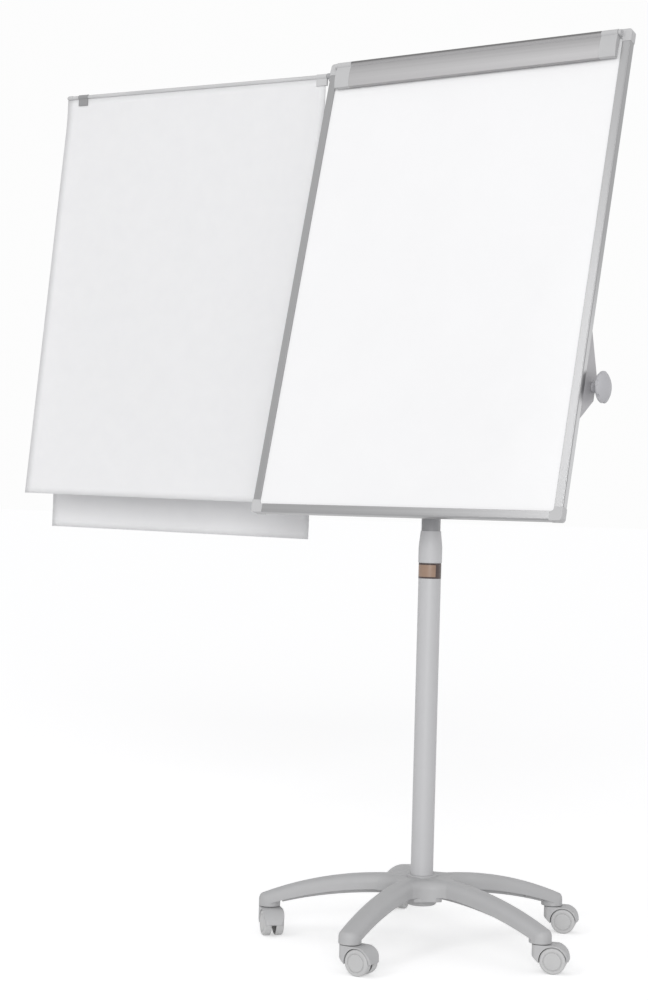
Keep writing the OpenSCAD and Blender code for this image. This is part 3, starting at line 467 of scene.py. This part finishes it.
# Board frame: four anodised aluminium extrusions, cut square and joined by moulded corner caps.
# The caps' tongues sit in the rails' chambers, and one screw from the back holds each cap but the arm's.
rail_grey = (0.35, 0.35, 0.355)
rail_look = {"metal": 1.0, "streaky": 0.04, "roughness": (0.28, 0.36)}
dress(drawn_metal("rail_across", rail_grey, "x", **rail_look), "top_rail", "bottom_rail")
dress(drawn_metal("rail_upright", rail_grey, "z", lean=board_tilt, **rail_look), "left_rail", "right_rail")
corner_plastic = moulded("corner_plastic", (0.56, 0.56, 0.565))
dress(corner_plastic, "corner_top_left", "corner_top_right", "corner_bottom_left", "corner_bottom_right")
corner_screw_x = 0.341
corner_screw_back = 0.0184
corner_screw_low = 0.009
corner_screw_high = 0.991
for name, side, up in (
    ("top_right", 1, corner_screw_high),
    ("bottom_left", -1, corner_screw_low),
    ("bottom_right", 1, corner_screw_low),
):
    seat = on_board @ Matrix.Translation((side * corner_screw_x, corner_screw_back, up)) @ facing_back
    button_screw(f"corner_{name}_screw", seat, "board", head_r=0.003)

# Writing surface: lacquered sheet steel on a honeycomb core, backed with a grey coated foil, held in the rails.
# The lacquer is glossy, with a slight orange peel and the faint clouds that wiping leaves.
lacquer = moulded(
    "white_lacquer", (0.94, 0.94, 0.945), grains=260, depth=0.000006, cloudy=0.008, rubbed_k=1.0,
    roughness=(0.16, 0.26), edge=0.0003,
)
dress(lacquer, "writing_surface")
dress(coated_steel("back_foil", (0.62, 0.62, 0.63), roughness=(0.45, 0.6)), "board_core")


# Clamp bar: a bowed, brushed aluminium extrusion with a moulded cap on each end and a magnetic grip behind.
# It turns on two pins in lugs on the upper corner caps; its top edge is darkened by a painted shade.
clamp_top_up = 0.996
# Painted shade: the bar's colour is multiplied down to 0.45 within 6 mm of its top edge, fading out by 12 mm,
# darkening the top edge as shade would.
top_shade_band = (0.0120, 0.0060)
top_shade_tone = 0.45
clamp_metal = drawn_metal(
    "clamp_brushed", (0.41, 0.405, 0.41), "x", 1.0, lean=board_tilt, streaky=0.05, roughness=(0.44, 0.58),
)
tree = clamp_metal.node_tree
shader = tree.nodes["Principled BSDF"]
unshaded_colour = shader.inputs["Base Color"].links[0].from_socket
place = tree.nodes.new("ShaderNodeTexCoord")
level_board = tree.nodes.new("ShaderNodeVectorRotate")
level_board.rotation_type = "X_AXIS"
level_board.inputs["Center"].default_value = (0.0, 0.0, tilt_axis_z)
level_board.inputs["Angle"].default_value = board_tilt
height = tree.nodes.new("ShaderNodeSeparateXYZ")
top_shade_mask = tree.nodes.new("ShaderNodeMapRange")
clamp_top_z = tilt_axis_z - tilt_axis_up + clamp_top_up
top_shade_mask.inputs["From Min"].default_value = clamp_top_z - top_shade_band[0]
top_shade_mask.inputs["From Max"].default_value = clamp_top_z - top_shade_band[1]
edge_tone = tree.nodes.new("ShaderNodeMix")
edge_tone.data_type = "RGBA"
edge_tone.blend_type = "MULTIPLY"
edge_tone.inputs["B"].default_value = (top_shade_tone, top_shade_tone, top_shade_tone, 1.0)
tree.links.new(place.outputs["Object"], level_board.inputs["Vector"])
tree.links.new(level_board.outputs["Vector"], height.inputs["Vector"])
tree.links.new(height.outputs["Z"], top_shade_mask.inputs["Value"])
tree.links.new(top_shade_mask.outputs["Result"], edge_tone.inputs["Factor"])
tree.links.new(unshaded_colour, edge_tone.inputs["A"])
tree.links.new(edge_tone.outputs["Result"], shader.inputs["Base Color"])
dress(clamp_metal, "clamp_bar")
dress(moulded("clamp_cap_plastic", (0.54, 0.54, 0.545)), "clamp_cap_left", "clamp_cap_right")
dress(moulded("grip_rubber", (0.045, 0.045, 0.045), roughness=(0.7, 0.85)), "clamp_grip")
dress(corner_plastic, "clamp_lugs")
dress(zinc, "clamp_pins")


# Paper arm: a satin steel rod in a cast knuckle, which swings on a pin in a cast bracket behind the frame.
# A moulded ferrule closes the rod's outer end, and two moulded clips slide along the rod.
dress(cast_alloy, "arm_bracket", "arm_knuckle")
dress(zinc, "arm_pin")
dress(drawn_metal("arm_satin", (0.58, 0.58, 0.585), "x", 0.5), "arm_rod")
dress(moulded("clip_grey", (0.30, 0.30, 0.305)), "clip_outer")
dress(moulded("clip_pale", (0.60, 0.60, 0.605)), "clip_inner")
bracket_screw_x = -0.334
bracket_screw_back = 0.0214
bracket_screw_ups = (0.9805, 0.9935)
for n, up in enumerate(bracket_screw_ups):
    seat = on_board @ Matrix.Translation((bracket_screw_x, bracket_screw_back, up)) @ facing_back
    button_screw(f"arm_bracket_screw_{n}", seat, "board", head_r=0.003)

arm_hinge_x = -0.361
arm_hinge_back = 0.025
arm_hinge_up = 0.987
arm_hinge = on_board @ Vector((arm_hinge_x, arm_hinge_back, arm_hinge_up))
arm_swing = math.radians(3.1)
arm_along = Vector((
    -math.cos(arm_swing),
    -math.sin(arm_swing) * math.cos(board_tilt),
    math.sin(arm_swing) * math.sin(board_tilt),
))
arm_across = Vector((0, 0, 1)).cross(arm_along).normalized()
arm_up = arm_along.cross(arm_across)
on_arm = Matrix.Translation(arm_hinge) @ Matrix((arm_along, arm_across, arm_up)).transposed().to_4x4()
rod_r = 0.0045
around = 32
ferrule_from = 0.7030
ferrule_to = 0.7148
ferrule_bore_r = rod_r + 0.00005
ferrule_lip_r = rod_r + 0.0005
ferrule_r = rod_r + 0.0008
ferrule_profile = [
    (ferrule_from, ferrule_bore_r), (ferrule_from, ferrule_lip_r), (ferrule_from + 0.0005, ferrule_r),
    (ferrule_to - 0.0006, ferrule_r), (ferrule_to, ferrule_lip_r), (ferrule_to, ferrule_bore_r),
]
bm = bmesh.new()
rings = []
for along, r in ferrule_profile:
    turns = [2 * math.pi * n / around for n in range(around)]
    rings.append([bm.verts.new(on_arm @ Vector((along, r * math.cos(t), r * math.sin(t)))) for t in turns])
for low, high in zip(rings, rings[1:] + rings[:1]):
    for n in range(around):
        m = (n + 1) % around
        bm.faces.new((low[n], low[m], high[m], high[n])).smooth = True
bmesh.ops.recalc_face_normals(bm, faces=bm.faces)
ferrule_mesh = bpy.data.meshes.new("arm_ferrule")
bm.to_mesh(ferrule_mesh)
bm.free()
ferrule_mesh.materials.append(corner_plastic)
ferrule = bpy.data.objects.new("arm_ferrule", ferrule_mesh)
scene.collection.objects.link(ferrule)
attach(ferrule, "arm")


# Hung sheets: two sheets of uncoated flipchart paper, gripped by the clips along their top edges.
# The rear one hangs straight; the front one springs forward below the clips, as a sheet off a roll does.
paper_w = 0.700
paper_from = 0.017
paper_top = -0.0048
paper_thick = 0.0002
paper_see_through = 0.15
paper_tones = ((0.922, 0.922, 0.930, 1.0), (0.940, 0.940, 0.946, 1.0))
paper = bpy.data.materials.new("flipchart_paper")
paper.use_nodes = True
tree = paper.node_tree
shader = tree.nodes["Principled BSDF"]
shader.inputs["Roughness"].default_value = 0.72
fibres = tree.nodes.new("ShaderNodeGroup")
fibres.node_tree = grain_group
fibres.inputs["Grains per metre"].default_value = 900.0
fibres.inputs["Clouds per metre"].default_value = 26.0
tones = tree.nodes.new("ShaderNodeValToRGB")
for element, position, tone in zip(tones.color_ramp.elements, cloud_ends, paper_tones):
    element.position = position
    element.color = tone
bump = tree.nodes.new("ShaderNodeBump")
bump.inputs["Distance"].default_value = 0.00002
tree.links.new(fibres.outputs["Cloud"], tones.inputs["Fac"])
tree.links.new(fibres.outputs["Height"], bump.inputs["Height"])
tree.links.new(tones.outputs["Color"], shader.inputs["Base Color"])
tree.links.new(bump.outputs["Normal"], shader.inputs["Normal"])
through = tree.nodes.new("ShaderNodeBsdfTranslucent")
thin = tree.nodes.new("ShaderNodeMixShader")
thin.inputs["Fac"].default_value = paper_see_through
tree.links.new(tones.outputs["Color"], through.inputs["Color"])
tree.links.new(shader.outputs["BSDF"], thin.inputs[1])
tree.links.new(through.outputs["BSDF"], thin.inputs[2])
tree.links.new(thin.outputs["Shader"], tree.nodes["Material Output"].inputs["Surface"])


def hung_sheet(name, node, length, fall, sway):
    """A sheet whose centre line is fall(distance from its top) and whose faces ripple by sway(across, down)."""
    wide, high = 36, 60
    bm = bmesh.new()
    grid = []
    for j in range(high + 1):
        down = length * j / high
        y, z = fall(down)
        grid.append([
            bm.verts.new(on_arm @ Vector((paper_from + paper_w * i / wide, y + sway(i / wide, j / high), z)))
            for i in range(wide + 1)
        ])
    for j in range(high):
        for i in range(wide):
            face = bm.faces.new((grid[j][i], grid[j + 1][i], grid[j + 1][i + 1], grid[j][i + 1]))
            face.smooth = True
    mesh = bpy.data.meshes.new(name)
    bm.to_mesh(mesh)
    bm.free()
    mesh.materials.append(paper)
    sheet = bpy.data.objects.new(name, mesh)
    scene.collection.objects.link(sheet)
    body = sheet.modifiers.new("paper_thickness", "SOLIDIFY")
    body.thickness = paper_thick
    body.offset = 0.0
    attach(sheet, "arm")
    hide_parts(node)


paper_y = 0.00055
front_lean = math.radians(6.9)
bend_from = 0.0182
bend_len = 0.060


def front_fall(down):
    if down <= bend_from:
        return paper_y, paper_top - down
    reach = bend_len / front_lean
    turn = min((down - bend_from) / bend_len, 1.0) * front_lean
    rest = max(down - bend_from - bend_len, 0.0)
    return (
        paper_y + reach * (1 - math.cos(turn)) + rest * math.sin(turn),
        paper_top - bend_from - reach * math.sin(turn) - rest * math.cos(turn),
    )


def rear_fall(down):
    return -paper_y, paper_top - down


def front_sway(across, down):
    bulge = 0.0035 * down * down * math.sin(math.pi * (1.1 * across + 0.15))
    ripple = 0.0010 * down * math.sin(9 * across + 5 * down)
    return bulge + ripple


def rear_sway(across, down):
    bulge = 0.0030 * down * down * math.sin(math.pi * across)
    ripple = 0.0008 * down * (1 + math.sin(7 * across + 4 * down))
    return -bulge - ripple


front_len = 0.930
rear_len = 1.000
hung_sheet("paper_front_sheet", "paper_front", front_len, front_fall, front_sway)
hung_sheet("paper_rear_sheet", "paper_rear", rear_len, rear_fall, rear_sway)
